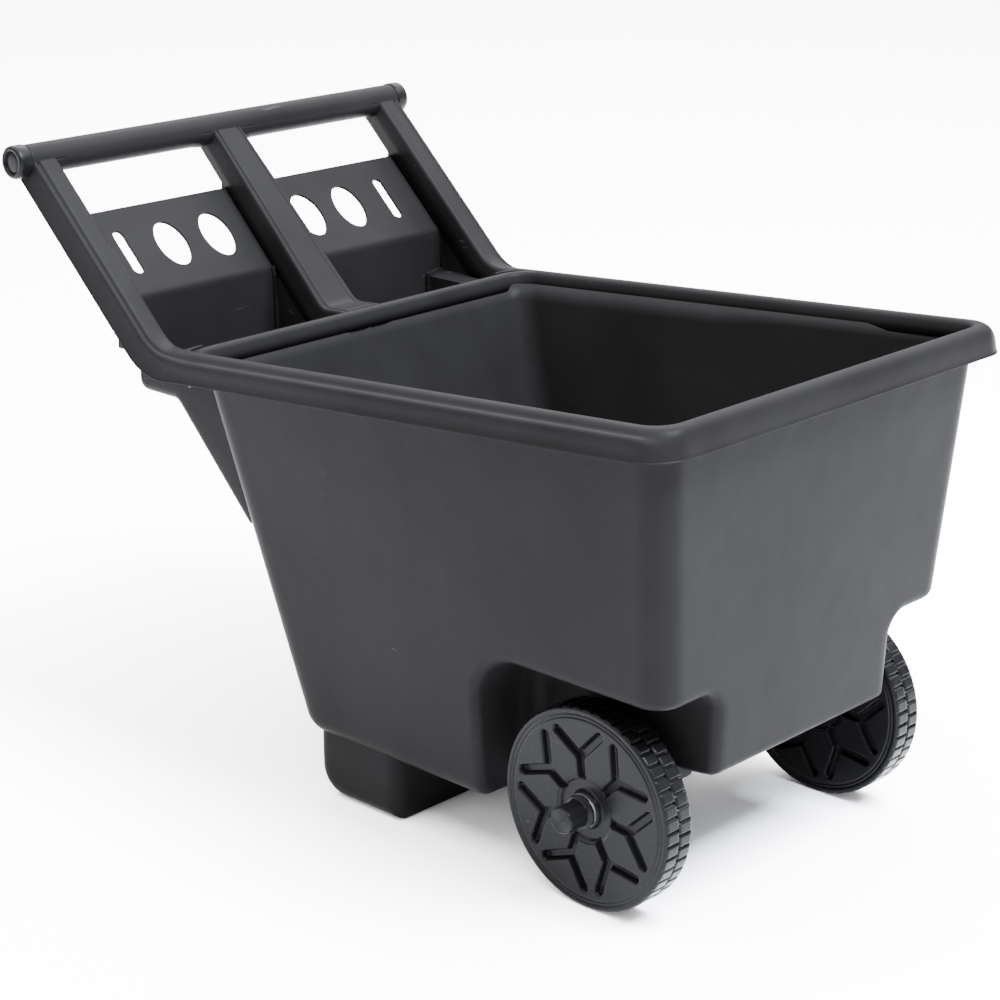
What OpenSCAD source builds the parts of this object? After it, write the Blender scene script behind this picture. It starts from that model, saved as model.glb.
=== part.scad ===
// Garden cart: moulded hopper on two wheels, with a tool-tray handle frame.
// X points forwards, Y to the user's left, Z up; the origin is on the ground under the middle.

/* [Hopper] */
// Width over the rim
rim_w = 465; // [400:1:540]
// Front edge of the rim, ahead of the axle
rim_front = 124; // [105:1:150]
// Rear edge of the rim, behind the axle
rim_back = 449; // [400:1:540]
// Height of the rim at the front
rim_z_front = 451; // [400:1:530]
// Drop of the rim from front to back
rim_fall = 45; // [0:1:60]
// Depth of the rim's skirt
rim_depth = 26; // [20:1:34]
// Width of the rim along the sides
side_band = 22.5; // [18:0.5:28]
// Width of the rim along the front
front_band = 20; // [14:0.5:24]
// Width of the rim along the back
back_band = 18; // [15:0.5:24]
// Height of the bead round the mouth
bead_h = 8; // [4:0.5:10]
// Width of the bead round the mouth
bead_w = 11; // [6:0.5:12]
// Thickness of the moulded walls
wall = 4; // [3:0.25:5]
// Radius of the mouth's corners
corner_r = 20; // [16:1:50]
// Radius of the rim's outer corners
skirt_r = 30; // [26:1:60]
// Width of the hopper at its floor
floor_w = 358; // [320:1:400]
// Height of the rear floor
floor_z = 61; // [50:1:75]
// Radius between the floor and the rear wall
floor_r = 30; // [15:1:40]
// Height of the nose's underside
nose_z = 127; // [118:1:140]
// Width of the nose between the wheels
nose_w = 238; // [200:1:250]
// Rear end of the nose's flat underside, ahead of the axle
nose_flat_x = 20; // [15:1:40]
// Lean of the front wall in degrees
front_lean = 3.3; // [1:0.1:6]
// Lean of the rear wall in degrees
rear_lean = 15.7; // [12:0.1:20]

/* [Wheel wells] */
// Height of the roof of each well above the wheel
well_clear = 25; // [15:1:30]
// Space behind each wheel
well_gap = 23; // [15:1:30]
// Radius where the roof meets the back of a well
well_r = 48; // [20:1:60]

/* [Foot] */
// Width of the rear foot
foot_w = 340; // [280:1:350]
// Front of the foot, behind the axle
foot_front = 226; // [200:1:240]
// Length of the foot
foot_l = 104; // [80:1:108]
// Radius of the foot's heel
heel_r = 30; // [10:1:40]

/* [Handle] */
// Slope of the handle frame in degrees
frame_angle = 43.8; // [40:0.1:48]
// Length of the frame from its foot to the bar
frame_l = 224.4; // [200:0.1:270]
// Distance from the rim to the foot of the frame
frame_setback = 21; // [14:1:30]
// Diameter of the grip bar
bar_d = 29.2; // [24:0.1:30]
// Rise of the bar above the frame's face
bar_rise = 3.7; // [0:0.1:5]
// Bore of the grip bar
bar_bore = 20; // [14:0.5:21]
// Diameter of the caps on the bar's ends
cap_d = 31; // [27:0.5:40]
// Length of each cap outside the frame
cap_l = 14; // [8:0.5:20]
// Chamfer round each cap's end
cap_edge = 2; // [0.5:0.5:4]
// Length of each cap's plug inside the bar
plug_l = 18; // [10:1:30]
// Radial clearance of a plug in the bar
plug_gap = 0.1; // [0.05:0.01:0.3]
// Depth of the posts
post_depth = 28; // [24:1:32]
// Width of the middle post at the bar
mid_w_top = 34; // [30:1:40]
// Width of the middle post at the rim
mid_w_foot = 48; // [44:1:56]

/* [Tool trays] */
// Gap for the hand between the bar and the plate
hand_gap = 41.3; // [36:0.1:50]
// Inside length of the pocket, behind the rim
pocket_l = 92; // [84:1:104]
// Depth of the pocket's floor below the rim
pocket_depth = 61; // [54:1:70]
// Length of the flat floor of the pocket
pocket_flat = 56; // [44:1:64]
// Slope of the pocket's chute in degrees
chute_angle = 46; // [44:0.5:48]
// Distance of the pocket's cheek from the side of the rim
cheek_inset = 45.5; // [40:0.5:50]
// Rise of the pocket's cheek above the rim's lower edge
cheek_rise = 14; // [6:1:18]
// Width of a handle hole
hole_w = 34; // [24:0.5:35]
// Length of a handle hole
hole_l = 50.5; // [44:0.5:64]
// Nearer handle hole, from the middle of the cart
hole_y = 59; // [54:0.5:62]
// Spacing of the handle holes
hole_pitch = 55; // [48:0.5:57]
// Place of the holes and the slot, down the plate from the bar
hole_s = 105.5; // [102:0.5:108]
// Width of the tool slot
slot_w = 11.5; // [6:0.5:12]
// Length of the tool slot
slot_l = 49; // [40:1:60]
// Distance of the slot from the middle of the cart
slot_y = 167; // [160:0.5:175]

/* [Wheels] */
// Wheel diameter over the tread
wheel_d = 178; // [160:1:182]
// Width of the wheel
wheel_w = 32; // [26:1:36]
// Distance between the wheels' outer faces
track = 350; // [346:1:380]
// Lugs in each row of the tread
lugs = 48; // [36:2:60]
// Share of the tread's pitch that a lug fills
lug_share = 0.8; // [0.6:0.05:0.85]
// Depth of the tread
lug_h = 2.5; // [1.5:0.25:4]
// Thickness of the tread wall
tread_t = 5; // [4:0.5:6]
// Thickness of the wheel's face
face_t = 6; // [5:0.5:8]
// Depth of the channels in the face
channel_depth = 4; // [2:0.25:4.5]
// Width of a channel
channel_w = 6; // [4:0.25:7]
// Number of forked channels
spokes = 7; // [5:1:8]
// Diameter of the hub
hub_d = 34; // [30:1:38]
// Height of the hub above the wheel's outer face
hub_h = 2; // [1:0.25:4]

/* [Axle] */
// Axle diameter
axle_d = 12.7; // [10:0.1:15.5]
// Radial running clearance of the hub sleeve on the axle
run_gap = 0.07; // [0.03:0.01:0.1]
// Radial clearance of the fixed parts on the axle
fit_gap = 0.1; // [0.05:0.01:0.2]
// Wall of the hub sleeve
sleeve_t = 3; // [2:0.25:4]
// Side play beside each wheel
side_gap = 0.4; // [0.3:0.05:0.8]
// Washer diameter
washer_d = 30; // [26:1:32]
// Washer thickness
washer_t = 1.6; // [1:0.1:2]
// Diameter of the hub caps
hubcap_d = 23; // [20:0.5:27]
// Reach of the hub cap outside the wheel's face
hubcap_l = 29.5; // [24:0.5:34]
// Thickness of the hub cap's end
hubcap_end = 5; // [3:0.5:8]
// Thickness of the flange at the hub cap's foot
hubcap_flange_t = 3; // [2:0.5:4]
// Inner end of each axle saddle, from the middle
saddle_in = 48; // [40:1:60]
// Outer end of each axle saddle, from the middle
saddle_out = 112; // [100:1:116]
// Wall of the saddle round the axle
saddle_t = 5; // [4:0.5:7]
// Wall of the spacer between a saddle and a wheel
spacer_t = 3.5; // [3:0.5:5]

/* [Hidden] */
$fn = 48;
arc_n = 8;
oval_n = 36;
eps = 0.01;
far = 1000;
groove_w = 1;
grooves = [0.93, 0.9];
stem_at = 0.31;
fork_at = 0.5;
tip_at = 0.85;
fork_turn = 20;
poly_c = [0.115, 0.115, 0.12];
trim_c = [0.07, 0.07, 0.075];
wheel_c = [0.085, 0.085, 0.09];
steel_c = [0.62, 0.63, 0.65];

axle_z = wheel_d / 2;
rim_hw = rim_w / 2;
rim_tilt = atan(rim_fall / (rim_front + rim_back));
wall_top = bead_h + wall;
mouth_hw = rim_hw - side_band;
mouth_front = rim_front - front_band;
mouth_back = back_band - rim_back;
well_x = -axle_z - well_gap;
well_z = wheel_d + well_clear;
post_w = side_band;
sleeve_d = axle_d + 2 * (run_gap + sleeve_t);
fit_bore = axle_d + 2 * fit_gap;
wheel_in = track / 2 - wheel_w;
washer_in = wheel_in - side_gap - washer_t;
washer_out = track / 2 + hub_h + side_gap;
cap_end = track / 2 + hubcap_l;

// Foot of the frame, the directions down its slope and off its face, and the bar
foot_x = -rim_back - frame_setback;
down = [cos(frame_angle), -sin(frame_angle)];
up = [sin(frame_angle), cos(frame_angle)];
top_pt = [foot_x, rim_z(foot_x)] - frame_l * down;
bar_pt = top_pt - (bar_d / 2 - bar_rise) * up;
post_s = bar_d / 4;
plate_s = bar_d / 2 + hand_gap;
rim_tip = rim_front + rim_depth * sin(rim_tilt);
mid_x = (rim_tip + bar_pt[0] - cap_d / 2) / 2;

// Place down the slope where the undersides of a post and of the rim meet
under_s = frame_l + (post_depth * (up[1] - up[0] * tan(rim_tilt)) - rim_depth)
    / (down[1] - down[0] * tan(rim_tilt));

// The pocket behind the rear wall
pocket_x = -rim_back - pocket_l;
pocket_floor = rim_z(-rim_back) - pocket_depth;
shelf_z = rim_z(-rim_back) - rim_depth;
cheek_y = rim_hw - cheek_inset;
cheek_top = shelf_z + cheek_rise;
pocket_in = mid_w_foot / 2;

// Points on the frame: s down the slope from the bar, d below the face
function on_frame(s, d) = top_pt + s * down - d * up;
function s_at_x(x, d) = (x - top_pt[0] + d * up[0]) / down[0];

// Height of the rim's top, of the belly, and the hopper's outer faces at a height
function rim_z(x) = rim_z_front - (rim_front - x) * tan(rim_tilt);
function belly_z(x) = floor_z + (nose_z - floor_z) * min(1, (x - well_x) / (nose_flat_x - well_x));
function front_x(z) = mouth_front + wall - (rim_z_front - wall_top - z) * tan(front_lean);
function back_x(z) = mouth_back - wall + (rim_z(-rim_back) - wall_top - z) * tan(rear_lean);
function side_y(z) = floor_w / 2
    + (mouth_hw + wall - floor_w / 2) * (z - floor_z) / (rim_z(0) - wall_top - floor_z);

// A place on the rim's sloping plane that stands over x
function on_slope(x) = rim_front + (x - rim_front) / cos(rim_tilt);

// Points of a quarter arc
function arc(cx, cy, r, from) = [
    for (i = [0 : arc_n]) [cx + r * cos(from + 90 * i / arc_n), cy + r * sin(from + 90 * i / arc_n)]
];

// Outline of a rounded rectangle from x0 to x1 that reaches hw each way
function outline(x0, x1, hw, r) = concat(
    arc(x1 - r, hw - r, r, 0), arc(x0 + r, hw - r, r, 90),
    arc(x0 + r, r - hw, r, 180), arc(x1 - r, r - hw, r, 270)
);

// Outline of the tread: raised lugs of radius r1 on a drum of radius r0
function tread(r0, r1, turn) = [
    for (i = [0 : lugs - 1], k = [0 : 3])
        let (
            pitch = 360 / lugs,
            a = turn + pitch * (i + [-0.5, 0.5, 0.5, 1 / lug_share - 0.5][k] * lug_share),
            r = k < 2 ? r1 : r0
        )
        r * [cos(a), sin(a)]
];

module placed() {
    translate([-mid_x, 0, 0]) children();
}

// The right-hand piece as drawn, or its mirror image on the left
module hand(side) {
    placed() mirror([0, side, 0]) children();
}

// An outline in X and Z, drawn from y0 to y1
module across(y0, y1) {
    translate([0, y1, 0]) rotate([90, 0, 0]) linear_extrude(y1 - y0) children();
}

// A round piece on the axle's line, from y0 to y1 out to the right
module turned(y0, y1, d) {
    translate([0, -y0, axle_z]) rotate([90, 0, 0]) cylinder(h = y1 - y0, d = d);
}

// A sheet of thickness t parallel to the rim's top and d below it
module rim_sheet(d, t) {
    translate([rim_front, 0, rim_z_front]) rotate([0, -rim_tilt, 0])
        translate([-rim_front, 0, -d - t]) linear_extrude(t) children();
}

// A sheet of thickness t parallel to the frame's face and d below it
module frame_sheet(d, t) {
    translate([top_pt[0], 0, top_pt[1]]) rotate([0, frame_angle, 0])
        translate([0, 0, -d - t]) linear_extrude(t) children();
}

// A straight bar with round ends from a to b, drawn flat
module slot(a, b, w) {
    dir = b - a;
    l = norm(dir);
    r = w / 2;
    translate(a) rotate(atan2(dir[1], dir[0]))
        polygon(concat(arc(l, 0, r, -90), arc(l, 0, r, 0), arc(0, 0, r, 90), arc(0, 0, r, 180)));
}

// The hopper's form before its wells are cut, set in by g
module block(g) {
    mid_z = floor_z + floor_r;
    low_z = floor_z + g;
    hull() {
        rim_sheet(wall_top - g, eps)
            polygon(outline(on_slope(mouth_back - wall + g), mouth_front + wall - g,
                mouth_hw + wall - g, corner_r + wall - g));
        translate([0, 0, mid_z]) linear_extrude(eps)
            polygon(outline(back_x(mid_z) + g, front_x(mid_z) - g, side_y(mid_z) - g, corner_r - g));
        translate([0, 0, low_z]) linear_extrude(eps)
            polygon(outline(back_x(low_z) + floor_r / 3 + g, front_x(low_z) - floor_r / 3 - g,
                side_y(low_z) - wall - g, corner_r - wall - g));
    }
}

// The room for the right wheel, made larger by g
module well(g) {
    x = well_x - g;
    z = well_z + g;
    r = well_r + g;
    across(-far / 2, g - nose_w / 2)
        polygon(concat(arc(x + r, z - r, r, 90), [[x, -eps], [far, -eps], [far, z]]));
}

// The space under the nose, made larger by g
module under_nose(g) {
    across(-far / 2, far / 2) polygon([
        [well_x - g, -eps], [well_x - g, floor_z + g], [nose_flat_x - g, nose_z + g],
        [far, nose_z + g], [far, -eps]
    ]);
}

module shell(g) {
    difference() {
        block(g);
        well(g);
        mirror([0, 1, 0]) well(g);
        under_nose(g);
    }
}

module hopper() {
    color(poly_c) placed() difference() {
        shell(0);
        shell(wall);
    }
}

// A ring of the rim round the mouth, from w0 to w1 outside it
module mouth_ring(w0, w1, d, t) {
    rim_sheet(d, t) difference() {
        polygon(outline(on_slope(mouth_back - w1), mouth_front + w1, mouth_hw + w1, corner_r + w1));
        polygon(outline(on_slope(mouth_back - w0), mouth_front + w0, mouth_hw + w0, corner_r + w0));
    }
}

module rim() {
    back_end = on_slope(-rim_back - 2 * skirt_r);
    color(poly_c) placed() difference() {
        union() {
            mouth_ring(0, bead_w, 0, bead_h);
            rim_sheet(bead_h, wall) difference() {
                polygon(outline(back_end, rim_front, rim_hw, skirt_r));
                polygon(outline(on_slope(mouth_back), mouth_front, mouth_hw, corner_r));
            }
            rim_sheet(wall_top, rim_depth - wall_top) difference() {
                polygon(outline(back_end, rim_front, rim_hw, skirt_r));
                polygon(outline(back_end - skirt_r, rim_front - wall, rim_hw - wall, skirt_r - wall));
            }
        }
        translate([-rim_back - far, -far / 2, 0]) cube(far);
    }
}

module rear_foot() {
    color(poly_c) placed() difference() {
        foot_form(0);
        foot_form(wall);
    }
}

module foot_form(g) {
    x0 = -foot_front - foot_l + g;
    x1 = -foot_front - g;
    r = heel_r - g;
    top = g > 0 ? floor_z + wall : floor_z;
    across(g - foot_w / 2, foot_w / 2 - g)
        polygon(concat(arc(x0 + r, g + r, r, 180), [[x1, g], [x1, top], [x0, top]]));
}

module grip_bar() {
    color(poly_c) placed() across(-rim_hw, rim_hw) translate(bar_pt) difference() {
        circle(d = bar_d);
        circle(d = bar_bore);
    }
}

module bar_cap(side) {
    color(trim_c) hand(side) translate([bar_pt[0], -rim_hw, bar_pt[1]]) rotate([90, 0, 0]) {
        cylinder(h = cap_l - cap_edge, d = cap_d);
        translate([0, 0, cap_l - cap_edge]) cylinder(h = cap_edge, d1 = cap_d, d2 = cap_d - 2 * cap_edge);
        translate([0, 0, -plug_l]) cylinder(h = plug_l, d = bar_bore - 2 * plug_gap);
    }
}

// Side view of a post, set in by g; the set-in one is open below
module post_outline(g) {
    drop = g > 0 ? post_depth : 0;
    polygon([
        on_frame(post_s + g, g), on_frame(frame_l - g * tan(frame_angle / 2), g),
        [-rim_back + min(g, eps), rim_z(-rim_back) - g], [-rim_back + min(g, eps), shelf_z - drop],
        on_frame(under_s, post_depth + drop), on_frame(post_s + g, post_depth + drop)
    ]);
}

module post(y0, y1) {
    difference() {
        across(y0, y1) post_outline(0);
        across(y0 + wall, y1 - wall) post_outline(wall);
        across(-far / 2, far / 2) translate(bar_pt) circle(d = bar_d);
    }
}

module side_post(side) {
    color(poly_c) hand(side) post(-rim_hw, post_w - rim_hw);
}

// The middle post narrows towards the bar
module post_middle() {
    color(poly_c) placed() difference() {
        wedge(0);
        wedge(wall);
        across(-far / 2, far / 2) translate(bar_pt) circle(d = bar_d);
    }
}

// The middle post's form, set in by g
module wedge(g) {
    w0 = mid_w_top / 2 - g;
    w1 = mid_w_foot / 2 - g;
    intersection() {
        across(-mid_w_foot, mid_w_foot) post_outline(g);
        frame_sheet(-frame_l, 3 * frame_l)
            polygon([[0, -w0], [frame_l, -w1], [2 * frame_l, -w1], [2 * frame_l, w1], [frame_l, w1], [0, w0]]);
    }
}

// Side view of the pocket, set in by g and open to above when g is the wall
module pocket_outline(g) {
    x0 = pocket_x - wall + g;
    z0 = pocket_floor - wall + g;
    chute_x = pocket_x - wall + pocket_flat + (g > 0 ? g * tan(chute_angle / 2) : 0);
    run = pocket_depth * 3;
    top_d = g > 0 ? 0 : post_depth;
    polygon([
        on_frame(s_at_x(x0, top_d), top_d), [x0, z0], [chute_x, z0],
        [chute_x + run, z0 - run * tan(chute_angle)], [chute_x + run, shelf_z + (g > 0 ? far : 0)],
        on_frame(under_s, top_d)
    ]);
}

module above(z) {
    intersection() {
        children();
        translate([-far, -far / 2, z]) cube(far);
    }
}

// The room inside a pocket, or its outer form when g is 0
module pocket_form(g) {
    y_in = -pocket_in + wall - g;
    across(-cheek_y + g, y_in) pocket_outline(g);
    above(cheek_top + g) across(post_w - rim_hw - wall + g, y_in) pocket_outline(g);
}

module plate_cuts() {
    for (k = [0, 1]) {
        polygon([for (i = [0 : oval_n - 1]) let (a = 360 * i / oval_n)
            [hole_s + hole_l / 2 * cos(a), -hole_y - k * hole_pitch + hole_w / 2 * sin(a)]]);
    }
    half = (slot_l - slot_w) / 2;
    slot([hole_s - half, -slot_y], [hole_s + half, -slot_y], slot_w);
}

module tool_tray(side) {
    bend_in = s_at_x(pocket_x, post_depth);
    bend_out = s_at_x(pocket_x - wall, post_depth + wall);
    color(poly_c) hand(side) difference() {
        union() {
            difference() {
                pocket_form(0);
                pocket_form(wall);
            }
            difference() {
                across(post_w - rim_hw - wall, wall - mid_w_top / 2) polygon([
                    on_frame(plate_s, post_depth), on_frame(bend_in, post_depth),
                    on_frame(bend_out + wall, post_depth + wall), on_frame(plate_s, post_depth + wall)
                ]);
                frame_sheet(0, far / 10) plate_cuts();
            }
        }
        block(0);
        translate([-rim_back, -far / 2, shelf_z - wall]) cube([far, far, far]);
    }
}

module axle() {
    end = cap_end - hubcap_end - 1;
    color(steel_c) placed() turned(-end, end, axle_d);
}

module axle_saddle(side) {
    r = axle_d / 2 + saddle_t;
    color(poly_c) hand(side) difference() {
        across(-saddle_out, -saddle_in) {
            polygon([[-r, belly_z(-r)], [-r, axle_z], [r, axle_z], [r, belly_z(r)]]);
            translate([0, axle_z]) circle(r);
        }
        turned(0, far / 2, fit_bore);
    }
}

// A plain ring on the axle from y0 to y1
module ring(y0, y1, d) {
    difference() {
        turned(y0, y1, d);
        turned(y0 - 1, y1 + 1, fit_bore);
    }
}

module axle_spacer(side) {
    color(trim_c) hand(side) ring(saddle_out, washer_in, fit_bore + 2 * spacer_t);
}

module inner_washer(side) {
    color(steel_c) hand(side) ring(washer_in, washer_in + washer_t, washer_d);
}

module outer_washer(side) {
    color(steel_c) hand(side) ring(washer_out, washer_out + washer_t, washer_d);
}

module hub_cap(side) {
    foot = washer_out + washer_t;
    color(wheel_c) hand(side) difference() {
        union() {
            turned(foot, foot + hubcap_flange_t, washer_d);
            turned(foot, cap_end - 1, hubcap_d);
            translate([0, 1 - cap_end, axle_z]) rotate([90, 0, 0])
                cylinder(h = 1, d1 = hubcap_d, d2 = hubcap_d - 2);
        }
        turned(foot - 1, cap_end - hubcap_end, fit_bore);
    }
}

module hub_sleeve(side) {
    color(trim_c) hand(side) difference() {
        turned(wheel_in, track / 2 + hub_h, sleeve_d - 2 * fit_gap);
        turned(wheel_in - 1, cap_end, axle_d + 2 * run_gap);
    }
}

// A channel that forks towards the tread
module forked_channel() {
    r = axle_z;
    root = fork_at * r;
    slot([stem_at * r, 0], [root, 0], channel_w);
    for (side = [-1, 1]) {
        slot([root, 0], tip_at * r * [cos(fork_turn), side * sin(fork_turn)], channel_w);
    }
}

// One half of a wheel with its face up at z = 0 and its seam below
module wheel_half(boss, turn) {
    depth = wheel_w / 2;
    drum = axle_z - lug_h;
    color(wheel_c) difference() {
        union() {
            translate([0, 0, -depth]) linear_extrude(depth) difference() {
                polygon(tread(drum, axle_z, turn));
                circle(drum - tread_t);
            }
            translate([0, 0, -face_t]) cylinder(h = face_t, r = drum - tread_t / 2);
            translate([0, 0, -depth]) cylinder(h = depth + boss, d = hub_d);
        }
        translate([0, 0, -channel_depth]) linear_extrude(face_t)
            for (i = [0 : spokes - 1]) rotate(90 + 360 * i / spokes) forked_channel();
        for (k = grooves) {
            rotate_extrude() translate([k * axle_z, 0]) square([groove_w, 2 * groove_w], center = true);
        }
        translate([0, 0, -depth - 1]) cylinder(h = wheel_w, d = sleeve_d);
    }
}

module wheel_outer_half(side) {
    hand(side) translate([0, -track / 2, axle_z]) rotate([90, 0, 0]) wheel_half(hub_h, 0);
}

module wheel_inner_half(side) {
    hand(side) translate([0, -wheel_in, axle_z]) rotate([-90, 0, 0]) wheel_half(0, 180 / lugs);
}

hopper();
rim();
rear_foot();
grip_bar();
side_post(0);  // post_right
side_post(1);  // post_left
post_middle();
tool_tray(0);  // tool_tray_right
tool_tray(1);  // tool_tray_left
bar_cap(0);  // bar_cap_right
bar_cap(1);  // bar_cap_left
axle();
axle_saddle(0);  // axle_saddle_right
axle_saddle(1);  // axle_saddle_left
axle_spacer(0);  // axle_spacer_right
axle_spacer(1);  // axle_spacer_left
inner_washer(0);  // inner_washer_right
inner_washer(1);  // inner_washer_left
outer_washer(0);  // outer_washer_right
outer_washer(1);  // outer_washer_left
wheel_outer_half(0);  // wheel_outer_half_right
wheel_outer_half(1);  // wheel_outer_half_left
wheel_inner_half(0);  // wheel_inner_half_right
wheel_inner_half(1);  // wheel_inner_half_left
hub_sleeve(0);  // hub_sleeve_right
hub_sleeve(1);  // hub_sleeve_left
hub_cap(0);  // hub_cap_right
hub_cap(1);  // hub_cap_left
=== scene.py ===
# Garden cart: a moulded tub with a handle frame, on two wheels.
# Shapes are worked out in millimetres from the axle, then put in metres in the shared frame.
import math

import bmesh
import bpy
import numpy as np
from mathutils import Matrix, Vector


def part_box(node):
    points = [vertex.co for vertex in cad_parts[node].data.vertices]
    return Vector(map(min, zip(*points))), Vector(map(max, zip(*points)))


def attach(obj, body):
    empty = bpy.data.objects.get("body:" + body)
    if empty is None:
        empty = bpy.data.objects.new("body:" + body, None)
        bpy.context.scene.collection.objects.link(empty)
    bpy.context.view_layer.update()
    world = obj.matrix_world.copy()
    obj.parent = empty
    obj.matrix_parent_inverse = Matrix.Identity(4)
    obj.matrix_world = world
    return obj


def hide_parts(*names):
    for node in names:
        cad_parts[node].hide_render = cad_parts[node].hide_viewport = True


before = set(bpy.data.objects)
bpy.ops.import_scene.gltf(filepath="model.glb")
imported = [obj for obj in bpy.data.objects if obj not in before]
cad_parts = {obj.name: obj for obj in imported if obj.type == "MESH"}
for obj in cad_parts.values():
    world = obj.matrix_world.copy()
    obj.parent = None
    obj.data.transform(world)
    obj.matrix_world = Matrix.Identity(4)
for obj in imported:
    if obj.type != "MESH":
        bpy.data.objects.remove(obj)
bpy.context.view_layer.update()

axleLow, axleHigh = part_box("axle")
rimLow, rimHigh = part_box("rim")
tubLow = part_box("hopper")[0]
barLow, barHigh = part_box("grip_bar")
footLow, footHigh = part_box("rear_foot")
capLow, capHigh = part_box("bar_cap_left")
hubLow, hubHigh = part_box("hub_cap_left")
axleX = 500 * (axleLow.x + axleHigh.x)  # where the axle stands in the shared frame
axleZ = 500 * (axleLow.z + axleHigh.z)


def roundMax(a, b, r):
    # the larger of two distances, with the corner between them rounded to radius r
    return np.minimum(np.maximum(a, b), -r) + np.hypot(np.maximum(a + r, 0), np.maximum(b + r, 0))


def ease(t):
    # smooth step from 0 to 1: 3 t squared minus 2 t cubed
    t = np.clip(t, 0, 1)
    return t * t * (3 - 2 * t)


def mix(a, b, t):
    # a plus the share t of the way to b
    return a + (b - a) * t


def spaced(count, pull=0.0):
    # shares from 0 to 1; pull draws them towards both ends
    t = np.linspace(0, 1, count)
    return mix(t, 0.5 - 0.5 * np.cos(np.pi * t), pull)


def alongPath(points, counts, pull=0.6):
    # a polyline through the points, cut into the given number of steps per side
    parts = [mix(a, b, spaced(n + 1, pull)[:-1, None]) for a, b, n in zip(points[:-1], points[1:], counts)]
    return np.concatenate(parts + [points[-1:]])


def roundPath(points, radii, step=1.5):
    # a polyline with each inner corner turned into an arc of its own radius
    made = [points[:1]]
    for before, at, after, r in zip(points[:-2], points[1:-1], points[2:], radii):
        a = (before - at) / np.linalg.norm(before - at)
        b = (after - at) / np.linalg.norm(after - at)
        half = 0.5 * math.acos(float(np.clip(a @ b, -1, 1)))
        reach = r / math.tan(half)
        count = max(3, int(r * (math.pi - 2 * half) / step))
        centre = at + (a + b) / np.linalg.norm(a + b) * (r / math.sin(half))
        start, end = at + a * reach - centre, at + b * reach - centre
        turn = math.pi - 2 * half
        t = np.linspace(0, 1, count + 1)[:, None]
        made.append(centre + (np.sin((1 - t) * turn) * start + np.sin(t * turn) * end) / math.sin(turn))
    return np.concatenate(made + [points[-1:]])


def evenly(path, step):
    # the path walked again in equal steps
    walked = np.concatenate([[0], np.cumsum(np.linalg.norm(np.diff(path, axis=0), axis=1))])
    at = np.linspace(0, walked[-1], max(2, int(round(walked[-1] / step))) + 1)
    return np.stack([np.interp(at, walked, path[:, k]) for k in range(path.shape[1])], 1)


def makePiece(name, grids, material, body, nodes, facing=None, wall=0.0, crease=0):
    # grids are arrays of points in millimetres from the axle; their shared edges are merged
    points, quads, start = [], [], 0
    for g in grids:
        m, n = g.shape[:2]
        index = np.arange(m * n).reshape(m, n) + start
        points.append(g.reshape(-1, 3))
        around = [index[:-1, :-1], index[1:, :-1], index[1:, 1:], index[:-1, 1:]]
        quads.append(np.stack(around, -1).reshape(-1, 4))
        start += m * n
    points = (np.concatenate(points) + [axleX, 0, 0]) / 1000
    quads = np.concatenate(quads)
    mesh = bpy.data.meshes.new(name)
    mesh.vertices.add(len(points))
    mesh.vertices.foreach_set("co", points.ravel())
    mesh.loops.add(quads.size)
    mesh.loops.foreach_set("vertex_index", quads.ravel())
    mesh.polygons.add(len(quads))
    mesh.polygons.foreach_set("loop_start", np.arange(0, quads.size, 4))
    mesh.update(calc_edges=True)
    work = bmesh.new()
    work.from_mesh(mesh)
    bmesh.ops.remove_doubles(work, verts=work.verts, dist=0.00002)
    bmesh.ops.dissolve_degenerate(work, edges=work.edges, dist=0.00001)
    bmesh.ops.recalc_face_normals(work, faces=work.faces)
    if facing is not None:
        total = sum(f.calc_area() * (f.normal @ Vector(facing)) for f in work.faces)
        if total < 0:
            bmesh.ops.reverse_faces(work, faces=work.faces)
    work.to_mesh(mesh)
    work.free()
    mesh.polygons.foreach_set("use_smooth", np.ones(len(mesh.polygons), bool))
    if crease:
        mesh.set_sharp_from_angle(angle=math.radians(crease))
    mesh.materials.append(material)
    piece = bpy.data.objects.new(name, mesh)
    bpy.context.scene.collection.objects.link(piece)
    if wall:
        solid = piece.modifiers.new("wall", "SOLIDIFY")
        solid.thickness = wall / 1000
        solid.offset = -1
        solid.use_even_offset = False
    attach(piece, body)
    if nodes:
        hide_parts(*nodes)
    print("made", name, len(mesh.polygons), "faces")
    return piece


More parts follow.
